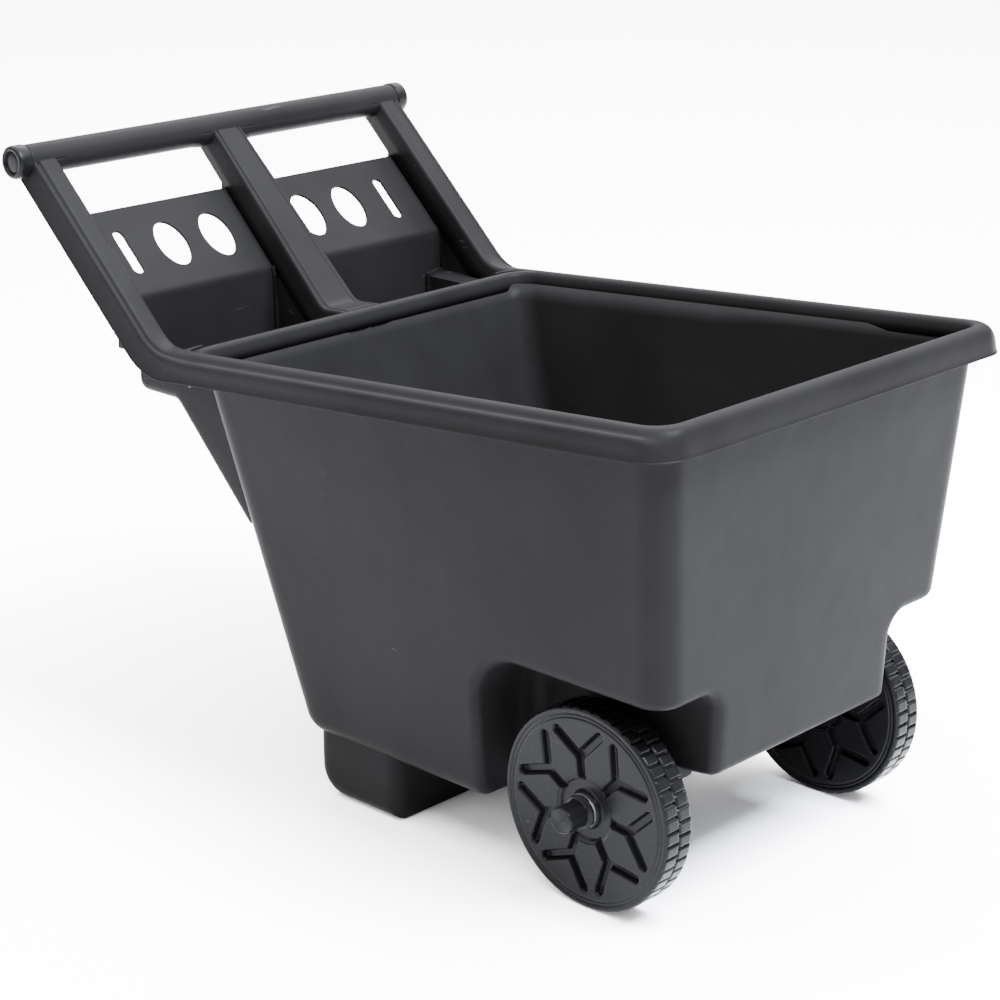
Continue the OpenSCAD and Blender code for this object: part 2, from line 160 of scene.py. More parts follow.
class Wire:
    # a value on its way through a material; sums and products of wires add Math nodes
    def __init__(self, tree, socket=None):
        self.tree = tree
        self.socket = socket

    def node(self, kind, settings, values, output=0):
        # one node with its settings; each input is a linked wire or a plain value
        made = self.tree.nodes.new(kind)
        for key, value in settings.items():
            setattr(made, key, value)
        for key, value in values.items():
            if isinstance(value, Wire):
                self.tree.links.new(value.socket, made.inputs[key])
            else:
                made.inputs[key].default_value = value
        return Wire(self.tree, made.outputs[output] if len(made.outputs) else None)

    def maths(self, operation, first, second):
        # one Math node: the operation on the first and the second value
        return self.node("ShaderNodeMath", {"operation": operation}, {0: first, 1: second})

    # plus, minus and times keep the order in which the two values are written
    def __add__(self, other):
        return self.maths("ADD", self, other)

    def __radd__(self, other):
        return self.maths("ADD", other, self)

    def __sub__(self, other):
        return self.maths("SUBTRACT", self, other)

    def __rsub__(self, other):
        return self.maths("SUBTRACT", other, self)

    def __mul__(self, other):
        return self.maths("MULTIPLY", self, other)

    def __rmul__(self, other):
        return self.maths("MULTIPLY", other, self)

    def ramp(self, low, high):
        # 0 below low, 1 above high, smooth between
        settings = {"interpolation_type": "SMOOTHSTEP"}
        return self.node("ShaderNodeMapRange", settings, {0: self, 1: low, 2: high, 3: 0.0, 4: 1.0})

    def noise(self, place, scale, detail=2.0, roughness=0.5, twist=0.0):
        # one Noise node, read at the place times the scale
        values = {"Vector": place, "Scale": scale, "Detail": detail, "Roughness": roughness,
                  "Distortion": twist}
        return self.node("ShaderNodeTexNoise", {}, values)

    def blend(self, share, one, two):
        # colour one plus the share of the way to colour two
        settings = {"data_type": "RGBA", "clamp_factor": True}
        return self.node("ShaderNodeMix", settings, {0: share, 6: one, 7: two}, 2)


def mouldedPlastic(name, look):
    # satin plastic: fine grain, slow flow marks, dust in scattered patches, hairline scuffs
    material = bpy.data.materials.new(name)
    material.use_nodes = True
    tree = material.node_tree
    tree.nodes.clear()
    start = Wire(tree)
    place = start.node("ShaderNodeTexCoord", {}, {}, 3)
    flow = start.noise(place, look["flowScale"], 3.0, 0.55, 0.6)
    grain = start.noise(place, look["grainScale"], 2.0, 0.6)
    fine = start.noise(place, look["grainScale"] * 2.7, 1.0, 0.5)
    ripple = start.noise(place, look["rippleScale"], 2.0, 0.5)
    stretched = start.node("ShaderNodeMapping", {}, {"Vector": place, "Scale": look["scuffStretch"]})
    hair = start.noise(stretched, look["scuffScale"], 3.0, 0.6, 1.2)
    patches = start.noise(place, look["patchScale"], 2.0, 0.5)
    scuff = hair.ramp(look["scuffFrom"], look["scuffFrom"] + 0.05) * patches.ramp(0.52, 0.66)
    dust = start.noise(place, look["dustScale"], 4.0, 0.65).ramp(0.68, 0.8) * patches.ramp(0.45, 0.6)
    base = start.blend(flow.ramp(0.3, 0.7), look["deep"], look["pale"])
    base = start.blend(scuff * look["scuffShare"], base, look["scuffTone"])
    base = start.blend(dust * look["dustShare"], base, look["dustTone"])
    rough = look["rough"] + (flow - 0.5) * look["roughSwing"] + (grain - 0.5) * 0.08
    rough = rough + scuff * 0.18 + dust * 0.15
    height = grain * look["grainHeight"] + fine * (0.4 * look["grainHeight"]) + ripple * look["rippleHeight"]
    height = height - scuff * look["scuffDepth"]
    bump = start.node("ShaderNodeBump", {}, {"Height": height, "Strength": 1.0, "Distance": 1.0})
    values = {"Base Color": base, "Roughness": rough, "Normal": bump, "Specular IOR Level": look["shine"],
              "Coat Weight": look["coat"], "Coat Roughness": look["coatRough"]}
    surface = start.node("ShaderNodeBsdfPrincipled", {}, values)
    start.node("ShaderNodeOutputMaterial", {}, {"Surface": surface})
    return material


def platedSteel(name, look):
    # zinc plate: turned brush lines and a few dull spots
    material = bpy.data.materials.new(name)
    material.use_nodes = True
    tree = material.node_tree
    tree.nodes.clear()
    start = Wire(tree)
    place = start.node("ShaderNodeTexCoord", {}, {}, 3)
    drawn = start.node("ShaderNodeMapping", {}, {"Vector": place, "Scale": (1.0, 0.04, 1.0)})
    lines = start.noise(drawn, look["lineScale"], 3.0, 0.6)
    spots = start.noise(place, look["spotScale"], 3.0, 0.6).ramp(0.5, 0.75)
    base = start.blend(spots, look["bright"], look["dull"])
    rough = look["rough"] + lines * 0.15 + spots * 0.2
    bump = start.node("ShaderNodeBump", {}, {"Height": lines * 0.00002, "Strength": 1.0, "Distance": 1.0})
    values = {"Base Color": base, "Metallic": 1.0, "Roughness": rough, "Normal": bump}
    surface = start.node("ShaderNodeBsdfPrincipled", {}, values)
    start.node("ShaderNodeOutputMaterial", {}, {"Surface": surface})
    return material


tubLook = {
    "deep": (0.0034, 0.0033, 0.0034, 1), "pale": (0.0046, 0.0045, 0.0047, 1), "flowScale": 5.0,
    "grainScale": 900.0, "grainHeight": 0.00006, "rippleScale": 28.0, "rippleHeight": 0.0006,
    "scuffStretch": (1.0, 0.25, 3.0), "scuffScale": 40.0, "scuffFrom": 0.68, "scuffShare": 0.35,
    "scuffTone": (0.035, 0.035, 0.037, 1), "scuffDepth": 0.00003, "patchScale": 7.0,
    "dustScale": 120.0, "dustShare": 0.25, "dustTone": (0.03, 0.028, 0.026, 1),
    "rough": 0.42, "roughSwing": 0.1, "shine": 0.013, "coat": 0.0, "coatRough": 0.3,
}
wheelLook = dict(tubLook, deep=(0.0016, 0.0016, 0.0018, 1), pale=(0.0024, 0.0024, 0.0027, 1),
                 rough=0.27, shine=0.04, roughSwing=0.08, grainHeight=0.00003, rippleHeight=0.0002,
                 scuffShare=0.25, dustShare=0.18)
trimLook = dict(tubLook, deep=(0.0016, 0.0016, 0.0018, 1), pale=(0.0026, 0.0026, 0.0029, 1),
                rough=0.34, shine=0.04, grainHeight=0.00004, rippleHeight=0.0001)
steelLook = {"bright": (0.62, 0.63, 0.65, 1), "dull": (0.42, 0.43, 0.45, 1), "lineScale": 700.0,
             "spotScale": 60.0, "rough": 0.25}
tubPlastic = mouldedPlastic("tubPlastic", tubLook)
wheelPlastic = mouldedPlastic("wheelPlastic", wheelLook)
trimPlastic = mouldedPlastic("trimPlastic", trimLook)
zincSteel = platedSteel("zincSteel", steelLook)
print("materials are made")


rimHalf = 1000 * rimHigh.y
rimBack = axleX - 1000 * rimLow.x
rimTop = 1000 * rimHigh.z
rimShape = {"front": 124.0, "tilt": math.atan2(45.0, 573.0), "sideBand": 22.5, "frontBand": 20.0,
            "backBand": 18.0, "cornerR": 20.0, "skirtR": 30.0, "wallTop": 12.0, "tubTop": 12.0}
mouthHalf = rimHalf - rimShape["sideBand"]
mouthFront = rimShape["front"] - rimShape["frontBand"]
mouthBack = rimShape["backBand"] - rimBack
tiltSin, tiltCos = math.sin(rimShape["tilt"]), math.cos(rimShape["tilt"])


def rimZ(x):
    # height of the rim's plane: the front height less its fall back to x
    return rimTop - (rimShape["front"] - x) * tiltSin / tiltCos


tubShape = {
    "floorHalf": 179.0, "floorZ": 1000 * tubLow.z, "wall": 4.0, "frontLean": 3.3, "rearLean": 15.7,
    "cornerLow": 27.0, "cornerHigh": 25.0, "floorR": 17.0, "wellX": -112.0, "wellZ": 203.0, "wellR": 50.0,
    "noseHalf": 119.0, "wellFillet": 21.0, "wellEdge": 9.0, "noseZ": 127.0, "noseFlat": 20.0,
    "bellyR": 40.0, "noseEdge": 8.0, "flute": 1.5, "fluteHalf": 23.0, "rib": 1.0, "ribEnd": 350.0,
}


def frontX(z):
    # the front wall: the mouth's front plus the wall, less the lean over the depth below the top
    top = rimTop - rimShape["wallTop"]
    return mouthFront + tubShape["wall"] - (top - z) * math.tan(math.radians(tubShape["frontLean"]))


def backX(z):
    # the rear wall: the mouth's back less the wall, plus the lean over the depth below the top
    top = rimZ(-rimBack) - rimShape["wallTop"]
    return mouthBack - tubShape["wall"] + (top - z) * math.tan(math.radians(tubShape["rearLean"]))


def sideY(z):
    # half the width: from the floor's to the mouth's in proportion to height
    top = rimZ(0) - rimShape["wallTop"]
    share = (z - tubShape["floorZ"]) / (top - tubShape["floorZ"])
    return tubShape["floorHalf"] + (mouthHalf + tubShape["wall"] - tubShape["floorHalf"]) * share


def tubDistance(p):
    # distance outside the tub: leaning walls and a floor with round corners, less the wells and the belly
    x, y, z = p[..., 0], np.abs(p[..., 1]), p[..., 2]
    s = tubShape
    corner = mix(s["cornerLow"], s["cornerHigh"], np.clip((z - s["floorZ"]) / 350, 0, 1))
    flute = s["flute"] * (ease((y - s["fluteHalf"] + 2) / 4) - 1) * ease((z - 95) / 30)
    flute = flute + s["rib"] * np.exp(-(y / 1.3) ** 2) * ease((z - s["ribEnd"]) / 10)
    rear = (backX(z) - x) * math.cos(math.radians(s["rearLean"])) + flute
    walls = roundMax(roundMax(y - sideY(z), x - frontX(z), corner), rear, corner)
    block = roundMax(walls, s["floorZ"] - z, s["floorR"])
    well = roundMax(roundMax(s["wellX"] - x, z - s["wellZ"], s["wellR"]), s["noseHalf"] - y, s["wellFillet"])
    tub = roundMax(block, -well, s["wellEdge"])
    rise = (s["noseZ"] - s["floorZ"]) / (s["noseFlat"] - s["wellX"])
    slope = (z - s["floorZ"] - rise * (x - s["wellX"])) / math.hypot(1, rise)
    belly = roundMax(slope, z - s["noseZ"], s["bellyR"])
    return roundMax(tub, -belly, s["noseEdge"])


def settle(p, distance, rounds=8, probe=0.4):
    # each point slides down the distance's own slope until it lies on the surface
    for _ in range(rounds):
        far = distance(p)
        steps = np.eye(3) * probe
        slope = np.stack([(distance(p + k) - distance(p - k)) / (2 * probe) for k in steps], -1)
        length = np.maximum((slope ** 2).sum(-1), 0.3)
        p = p - slope * (far / length)[..., None]
    return p


def tubSide():
    # the right half: lines run from the rim over the wall's edge, the well's corner and the belly's edge
    # to the middle; each of those five curves is a polyline with the same number of steps
    s = tubShape
    steps = [16, 20, 46, 18, 16, 34, 30]
    low, roof, nose = s["floorZ"], s["wellZ"], s["noseHalf"]
    topF, topB = frontX(rimTop), backX(rimZ(-rimBack))
    roofF, noseF, lowB = frontX(roof), frontX(s["noseZ"]), backX(low)
    arch = [s["wellX"] + s["wellR"], roof - s["wellR"]]

    def rimPoint(x, y):
        # a point of the rim's plane, moved tubTop down square to the plane
        return [x + rimShape["tubTop"] * tiltSin, -y, rimZ(x) - rimShape["tubTop"] * tiltCos]

    rimY = mouthHalf + s["wall"]
    rim = [rimPoint(topF, 0), rimPoint(topF, nose), rimPoint(topF, rimY), rimPoint(arch[0], rimY),
           rimPoint(-135, rimY), rimPoint(-190, rimY), rimPoint(topB, rimY), rimPoint(topB, 0)]
    edge = [[roofF, 0, roof], [roofF, -nose, roof], [roofF, -sideY(roof), roof],
            [arch[0], -sideY(roof), roof],
            [s["wellX"], -sideY(arch[1]), arch[1]], [s["wellX"], -sideY(low), low],
            [lowB, -sideY(low), low], [lowB, 0, low]]
    corner = [[roofF, 0, roof - 16], [roofF, -nose, roof - 16], [roofF - 46, -nose, roof],
              [arch[0], -nose, roof], [s["wellX"], -nose, arch[1]], [s["wellX"], -nose, low + 3],
              [lowB + 45, -nose, low], [lowB + 45, 0, low]]
    belly = [[noseF, 0, s["noseZ"]], [noseF, -nose, s["noseZ"]], [noseF - 40, -nose, s["noseZ"]],
             [-20, -nose, 107], [-70, -nose, 82], [s["wellX"] + 2, -nose, low + 1],
             [lowB + 60, -nose + 20, low], [lowB + 60, 0, low]]
    middle = [[noseF, 0, s["noseZ"]], [noseF - 10, 0, s["noseZ"]], [noseF - 50, 0, s["noseZ"]],
              [-20, 0, 107], [-70, 0, 82], [s["wellX"], 0, low],
              [lowB + 62, 0, low], [lowB + 60, 0, low]]
    curves = [alongPath(np.array(k, float), steps) for k in (rim, edge, corner, belly, middle)]
    # between the arch's ends the wall's edge and the well's corner follow a quarter circle
    first, last = sum(steps[:3]), sum(steps[:4])
    turn = np.linspace(0, math.pi / 2, steps[3] + 1)
    for curve in curves[1:3]:
        curve[first:last + 1, 0] = arch[0] - s["wellR"] * np.sin(turn)
        curve[first:last + 1, 2] = arch[1] + s["wellR"] * np.cos(turn)
    rows = []
    for a, b, n in zip(curves[:-1], curves[1:], [34, 24, 22, 10]):
        share = 1 - (1 - np.linspace(0, 1, n + 1)) ** 1.7 if a is curves[0] else spaced(n + 1, 0.8)
        rows.append(mix(a[None], b[None], share[:-1, None, None]))
    grid = settle(np.concatenate(rows + [curves[-1][None]]), tubDistance)
    # the top row stays in the rim's own plane
    grid[0, :, 2] = rimZ(grid[0, :, 0]) - rimShape["tubTop"]
    grid[:, 0, 1] = 0
    grid[:, -1, 1] = 0
    grid[-1, :, 1] = 0
    return grid


right = tubSide()
makePiece("tub", [right, right * [1, -1, 1]], tubPlastic, "cart", ["hopper"],
          facing=(0, 0, -1), wall=tubShape["wall"])


barShape = {"r": 500 * (barHigh.z - barLow.z), "angle": 43.8, "length": 224.4, "rise": 3.7,
            "x": 500 * (barLow.x + barHigh.x) - axleX, "z": 500 * (barLow.z + barHigh.z),
            "half": 1000 * barHigh.y, "footR": 35.0}
slopeSin, slopeCos = math.sin(math.radians(barShape["angle"])), math.cos(math.radians(barShape["angle"]))
barShape["under"] = barShape["r"] - barShape["rise"]  # from the face down to the middle of the bar
faceTop = np.array([barShape["x"] + barShape["under"] * slopeSin,
                    barShape["z"] + barShape["under"] * slopeCos])
faceFoot = faceTop + barShape["length"] * np.array([slopeCos, -slopeSin])


def onFrame(s, d):
    # a place on the frame: s down the slope from the bar, d below the face
    return [faceTop[0] + s * slopeCos - d * slopeSin, faceTop[1] - s * slopeSin - d * slopeCos]


railRim = np.array([[-0.4, 17], [0.1, 9], [1.0, 4.4], [2.8, 1.6], [5.2, 0.3], [8, 0], [10.6, 0.5], [12.8, 2],
                    [14.4, 4.2], [15.6, 5.9], [16.8, 6.5], [18.2, 6.4], [20, 7.0], [21.5, 8.8],
                    [22.2, 12], [22.4, 16],
                    [22.5, 24], [22.9, 24.6], [23.6, 25], [23.6, 26]])
frontStretch = 1.04  # width of the front section over its drawn width
railFront = np.array([[-0.4, 17], [0.1, 9], [0.7, 4.6], [2, 1.9], [4, 0.5], [6.5, 0], [9, 0.3], [11, 1.2],
                      [12.8, 2.7], [14.2, 4.7], [15.2, 7.1], [15.9, 9.8], [16.4, 12.5],
                      [16.7, 15.5], [16.9, 18],
                      [17.1, 21], [17.2, 24], [17.4, 24.7], [17.9, 25], [17.9, 26]]) * [frontStretch, 1]
railPost = np.array([[-5, 28], [-5, 12], [-5, 4], [-4.5, 1.5], [-3, 0.2], [0, 0], [7, 0], [13.6, 0],
                     [15, 0.5], [15.8, 1.9], [16.8, 2.6], [17.8, 1.7], [19, 0.6], [20.6, 0.5],
                     [21.9, 1.8], [22.5, 4.6],
                     [22.5, 25], [22.9, 25.8], [23.4, 26.4], [23.4, 27.4]])


def sideGuide():
    # the top line of the right rail from the bar down the slope and along the rim to the front corner
    start = np.array(onFrame(-4, 0))
    end = np.array([mouthFront - rimShape["cornerR"], rimZ(mouthFront - rimShape["cornerR"])])
    line = roundPath(np.array([start, faceFoot, end]), [barShape["footR"]])
    return evenly(line, 5.0)


def sweep(base, outward, down, sections):
    # each station's section: base plus offset times outward plus depth times down
    return base[:, None] + sections[..., :1] * outward[:, None] + sections[..., 1:] * down[:, None]


def railGrid():
    # the right rail from the bar to the middle of the front; at the corner the inner and outer arcs
    # have their own radii, and each section is stretched from one to the other
    guide = sideGuide()
    tangent = np.gradient(guide, axis=0)
    tangent /= np.linalg.norm(tangent, axis=1)[:, None]
    count = len(guide)
    base = np.stack([guide[:, 0], np.full(count, -mouthHalf), guide[:, 1]], 1)
    down = np.stack([tangent[:, 1], np.zeros(count), -tangent[:, 0]], 1)
    outward = np.tile([0.0, -1.0, 0.0], (count, 1))
    share = 1 - ease((guide[:, 0] - (faceFoot[0] - 12)) / 62)
    sections = mix(railRim[None], railPost[None], share[:, None, None])
    r, skirt = rimShape["cornerR"], rimShape["skirtR"]
    turn = np.radians(np.linspace(-90, 0, 21))[1:]
    plane = np.array([tiltCos, 0, tiltSin])
    cornerOut = np.stack([np.cos(turn), np.sin(turn)], 1)
    spot = np.array([mouthFront - r, r - mouthHalf]) + r * cornerOut
    front = np.stack([np.full(40, mouthFront), np.linspace(r - mouthHalf, 0, 41)[1:]], 1)
    spot = np.concatenate([spot, front])
    edge = np.array([rimShape["front"] - skirt, skirt - rimHalf]) + skirt * cornerOut
    front = np.stack([np.full(40, rimShape["front"]), np.linspace(skirt - rimHalf, 0, 41)[1:]], 1)
    share = ease(np.concatenate([cornerOut[:, 0], np.ones(40)]))[:, None]
    out = (np.concatenate([edge, front]) - spot) / mix(rimShape["sideBand"], rimShape["frontBand"], share)
    base = np.concatenate([base, np.stack([spot[:, 0], spot[:, 1], rimZ(spot[:, 0])], 1)])
    outward = np.concatenate([outward, out[:, :1] * plane + out[:, 1:] * np.array([0, 1.0, 0])])
    down = np.concatenate([down, np.tile([tiltSin, 0, -tiltCos], (len(spot), 1))])
    sections = np.concatenate([sections, mix(railRim[None], railFront[None], share[:, :, None])])
    return sweep(base, outward, down, sections)


rail = railGrid()
makePiece("rimAndSidePosts", [rail, rail * [1, -1, 1]], tubPlastic, "cart",
          ["rim", "post_right", "post_left"], facing=(0, 0, 1), wall=3.2)

rearRim = np.array([[-0.4, 17], [0.1, 9], [0.8, 4], [2, 1.6], [4, 0.5], [6.5, 0], [9, 0.5], [10.6, 1.8],
                    [12, 2.4], [15, 2.2], [17, 2.6], [18, 4.2], [18.2, 8], [18.2, 20], [18.2, 30]])


def ledgeGrids():
    # the bead round the rear of the mouth, with the flat corners that join it to the rails
    r = rimShape["cornerR"]
    turn = np.radians(np.linspace(-90, -180, 25))
    out = np.stack([np.cos(turn), np.sin(turn)], 1)
    spot = np.array([mouthBack + r, -(mouthHalf - r)]) + r * out
    straight = np.stack([np.full(36, mouthBack), np.linspace(-(mouthHalf - r), 0, 37)[1:]], 1)
    out = np.concatenate([out, np.tile([-1.0, 0.0], (36, 1))])
    spot = np.concatenate([spot, straight])
    base = np.stack([spot[:, 0], spot[:, 1], rimZ(spot[:, 0])], 1)
    outward = out[:, :1] * np.array([tiltCos, 0, tiltSin]) + out[:, 1:] * np.array([0, 1.0, 0])
    down = np.tile([tiltSin, 0, -tiltCos], (len(spot), 1))
    share = np.clip(-out[:, 0] * 2.2, 0, 1)[:, None, None]
    sections = mix(railRim[None, :15] * [0.75, 1], rearRim[None], ease(share))
    bead = sweep(base, outward, down, sections)
    inner = bead[:25, 9]
    backEnd = -rimBack + 0.5
    corner = np.array([[inner[0, 0], -mouthHalf - 2], [backEnd, -mouthHalf - 2], [backEnd, inner[-1, 1]]])
    outer = alongPath(corner, [14, 10], 0)
    outer = np.stack([outer[:, 0], outer[:, 1], rimZ(outer[:, 0]) - 2.6], 1)
    fill = mix(inner[None], outer[None], np.linspace(0, 1, 5)[:, None, None])
    drop = outer[14:][None] - np.array([0, 0, 1.0]) * np.array([0, 3, 12, 27])[:, None, None]
    return bead, fill, drop


bead, fill, drop = ledgeGrids()
halves = [bead, bead * [1, -1, 1]]
makePiece("rearBead", halves, tubPlastic, "cart", [], facing=(0, 0, 1), wall=2.5)
corners = [fill, drop, fill * [1, -1, 1], drop * [1, -1, 1]]
makePiece("rearLedge", corners, tubPlastic, "cart", [], facing=(0, 0, 1), wall=2.5)

middleShape = {"halfTop": 17.0, "halfFoot": 24.0}


def middlePost():
    # a channel with a bead along each edge, wider towards the rim
    end = [-rimBack + 9, rimZ(-rimBack + 9) + 0.3]
    line = roundPath(np.array([onFrame(-4, 0), list(faceFoot), end]), [14.0])
    line = evenly(line, 4.0)
    tangent = np.gradient(line, axis=0)
    tangent /= np.linalg.norm(tangent, axis=1)[:, None]
    walked = np.linspace(0, 1, len(line))
    half = mix(middleShape["halfTop"], middleShape["halfFoot"], walked)[:, None]
    y = [0.69, 0.72, 0.76, 0.8, 0.84, 0.89, 0.94, 0.98, 1, 1, 1, 1]
    y = np.concatenate([np.linspace(0, 1, 8) * 0.66, y])
    d = np.concatenate([np.zeros(8), [0.4, 1.3, 1.8, 1.3, 0.5, 0.3, 0.5, 1.5, 3.8, 9, 18, 28.4]])[None]
    x = line[:, :1] + d * tangent[:, 1:]
    z = line[:, 1:] - d * tangent[:, :1]
    return np.stack([x, half * y[None], z], -1)


post = middlePost()
makePiece("middlePost", [post, post * [1, -1, 1]], tubPlastic, "cart", ["post_middle"],
          facing=(0, 0, 1), wall=3.0)
print("rim and posts are made")


def barGrid():
    # a tube across the cart that swells a little where a post runs into it
    half = barShape["half"]
    y = evenly(np.array([[-half - 0.3], [half + 0.3]]), 3.0)[:, 0]
    turn = np.linspace(0, 2 * math.pi, 65)
    posts = np.exp(-((np.abs(y) - 27) / 7) ** 2) + np.exp(-((np.abs(y) - 203) / 6) ** 2)
    under = np.exp(-((turn - 1.5 * math.pi) / 0.9) ** 2)
    r = barShape["r"] + 1.3 * posts[:, None] * under[None]
    x = barShape["x"] + r * np.cos(turn)[None]
    z = barShape["z"] + r * np.sin(turn)[None]
    return np.stack([x, np.repeat(y[:, None], 65, 1), z], -1)


makePiece("gripBar", [barGrid()], tubPlastic, "cart", ["grip_bar"], wall=3.0)


def turned(profile, centre, count, sign):
    # a profile of radius and reach, turned round the line through centre along Y
    turn = np.linspace(0, 2 * math.pi, count + 1)
    profile = np.array(profile, float)
    x = centre[0] + profile[:, :1] * np.cos(turn)
    z = centre[1] + profile[:, :1] * np.sin(turn)
    y = sign * np.repeat(profile[:, 1:], count + 1, 1)
    return np.stack([x, y, z], -1)


capShape = {"r": 500 * (capHigh.z - capLow.z), "start": 1000 * barHigh.y, "end": 1000 * capHigh.y}
for side, sign in (("right", -1), ("left", 1)):
    r, a, b = capShape["r"], capShape["start"], capShape["end"]
    rows = [[0, a - 18], [7.8, a - 18], [8.2, a - 17], [8.2, a], [r - 1.2, a], [r - 0.3, a + 0.3],
            [r, a + 1.4], [r, b - 3.4], [r - 0.4, b - 1.6], [r - 1.4, b - 0.4], [r - 2.8, b],
            [r - 4.4, b - 0.2], [r - 4.9, b - 0.9],
            [r - 5.1, b - 2.6], [r - 5.3, b - 2.8], [r - 5.6, b - 2.4], [r - 6.2, b - 1.9],
            [5, b - 1.6], [0, b - 1.5]]
    made = turned(rows, (barShape["x"], barShape["z"]), 72, sign)
    makePiece("barCap_" + side, [made], trimPlastic, "cart", ["bar_cap_" + side])
print("bar is made")


trayShape = {"plateDepth": 28.6, "plateStart": 55.9, "rearX": -541.0, "floorZ": 347.5,
             "flat": 52.0, "chute": 46.0, "chuteEnd": 249.0, "outer": 208.0, "cheek": 187.0, "shelfZ": 391.0,
             "bendR": 5.0, "floorR": 9.0, "cornerR": 7.0,
             "holeS": 105.5, "holeW": 17.0, "holeL": 25.25, "holes": (59.0, 114.0), "slotY": 167.0,
             "slotW": 5.75, "slotL": 18.75, "rimUnder": 27.0, "plateCornerR": 1.2}


def trayPath():
    # side view of the tray: down the plate, down the rear wall, along the floor and down the chute
    t = trayShape
    bendS = (t["rearX"] - faceTop[0] + t["plateDepth"] * slopeSin) / slopeCos
    fall = math.tan(math.radians(t["chute"]))
    turnX = t["rearX"] + t["flat"]
    reach = (t["floorZ"] - t["chuteEnd"]) / fall
    points = [onFrame(t["plateStart"], t["plateDepth"] + 7), onFrame(t["plateStart"], t["plateDepth"]),
              onFrame(bendS, t["plateDepth"]), [t["rearX"], t["floorZ"]], [turnX, t["floorZ"]],
              [turnX + reach, t["chuteEnd"]]]
    return bendS, np.array(points)


def trayPiece(name, node, sign):
    # the tray's floor is swept across the cart; round corners lead up to its two side walls
    t = trayShape
    bendS, points = trayPath()
    path = evenly(roundPath(points, [3.0, t["bendR"], t["floorR"], 14.0]), 3.0)
    tangent = np.gradient(path, axis=0)
    tangent /= np.linalg.norm(tangent, axis=1)[:, None]
    normal = np.stack([-tangent[:, 1], tangent[:, 0]], 1)
    x, z = path[:, 0], path[:, 1]
    bendZ = onFrame(bendS, t["plateDepth"])[1]
    down = np.clip((x - faceTop[0]) / slopeCos / barShape["length"], 0, 1)
    inner = mix(middleShape["halfTop"], middleShape["halfFoot"], down) - 0.8
    outer = np.where((z < t["shelfZ"]) & (z <= bendZ), t["cheek"], t["outer"])
    r = mix(t["cornerR"], t["plateCornerR"], ease((z - bendZ + 12) / 14))
    turn = np.linspace(0, math.pi / 2, 7)
    across = np.linspace(0, 1, 24)
    y = (inner + r)[:, None] + across[None] * (outer - inner - 2 * r)[:, None]
    grids = [np.stack([np.repeat(path[:, :1], 24, 1), sign * y, np.repeat(path[:, 1:], 24, 1)], -1)]
    wallX = np.clip(x, faceTop[0], -rimBack + 6)
    alongTop = faceTop[1] - (wallX - faceTop[0]) * slopeSin / slopeCos - t["rimUnder"] / slopeCos
    topZ = np.maximum(alongTop, rimZ(-rimBack) - t["rimUnder"] + 6)
    for edge, way in ((inner + r, -1), (outer - r, 1)):
        bendY = edge[:, None] + way * r[:, None] * np.sin(turn)[None]
        lift = (r[:, None] * (1 - np.cos(turn))[None])[..., None]
        spot = path[:, None] + lift * normal[:, None]
        grids.append(np.stack([spot[..., 0], sign * bendY, spot[..., 1]], -1))
        start = np.stack([spot[:, -1, 0], edge + way * r, spot[:, -1, 1]], 1)
        end = np.stack([wallX, edge + way * r if way < 0 else np.full(len(x), t["outer"]), topZ], 1)
        end[:, 2] = np.maximum(end[:, 2], start[:, 2] + 0.5)
        stops = [start, end]
        if way > 0:
            lip = start.copy()
            lip[:, 2] = np.maximum(start[:, 2], t["shelfZ"] - 3)
            lip[:, 0] = np.minimum(start[:, 0], wallX)
            shelf = lip.copy()
            shelf[:, 1] = t["outer"]
            shelf[:, 2] = np.maximum(start[:, 2], t["shelfZ"])
            end[:, 2] = np.maximum(end[:, 2], shelf[:, 2] + 0.3)
            stops = [start, lip, shelf, end]
        for a, b in zip(stops[:-1], stops[1:]):
            wallGrid = mix(a[:, None], b[:, None], np.linspace(0, 1, 5)[None, :, None])
            grids.append(wallGrid * [1, sign, 1])
    return makePiece(name, grids, tubPlastic, "cart", [node], facing=(0, 0, 1), wall=2.8,
                     crease=50)


def cutHoles(piece, sign):
    # the handle holes and the slot are cut square to the plate
    t = trayShape
    turn = np.linspace(0, 2 * math.pi, 73)[:-1]
    shapes = [(y, t["holeL"] * np.cos(turn), t["holeW"] * np.sin(turn)) for y in t["holes"]]
    long = t["slotL"] * np.sign(np.cos(turn)) + t["slotW"] * np.cos(turn)
    shapes.append((t["slotY"], long, t["slotW"] * np.sin(turn)))
    for y, along, across in shapes:
        layers = []
        for depth in (10, 60):
            at = np.array([onFrame(t["holeS"] + a, depth) for a in along])
            layers.append(np.stack([at[:, 0], sign * (y + across), at[:, 1]], 1))
        points = (np.concatenate(layers) + [axleX, 0, 0]) / 1000
        n = len(turn)
        faces = [list(range(n)), list(range(2 * n - 1, n - 1, -1))]
        faces += [[i, n + i, n + (i + 1) % n, (i + 1) % n] for i in range(n)]
        mesh = bpy.data.meshes.new("cutter")
        mesh.from_pydata(points.tolist(), [], faces)
        work = bmesh.new()
        work.from_mesh(mesh)
        bmesh.ops.recalc_face_normals(work, faces=work.faces)
        work.to_mesh(mesh)
        work.free()
        cutter = bpy.data.objects.new("cutter", mesh)
        bpy.context.scene.collection.objects.link(cutter)
        cut = piece.modifiers.new("hole", "BOOLEAN")
        cut.operation = "DIFFERENCE"
        cut.solver = "EXACT"
        cut.object = cutter
    graph = bpy.context.evaluated_depsgraph_get()
    finished = bpy.data.meshes.new_from_object(piece.evaluated_get(graph))
    cutters = [m.object for m in piece.modifiers if m.type == "BOOLEAN"]
    piece.modifiers.clear()
    piece.data = finished
    for cutter in cutters:
        bpy.data.objects.remove(cutter)
    finished.set_sharp_from_angle(angle=math.radians(50))


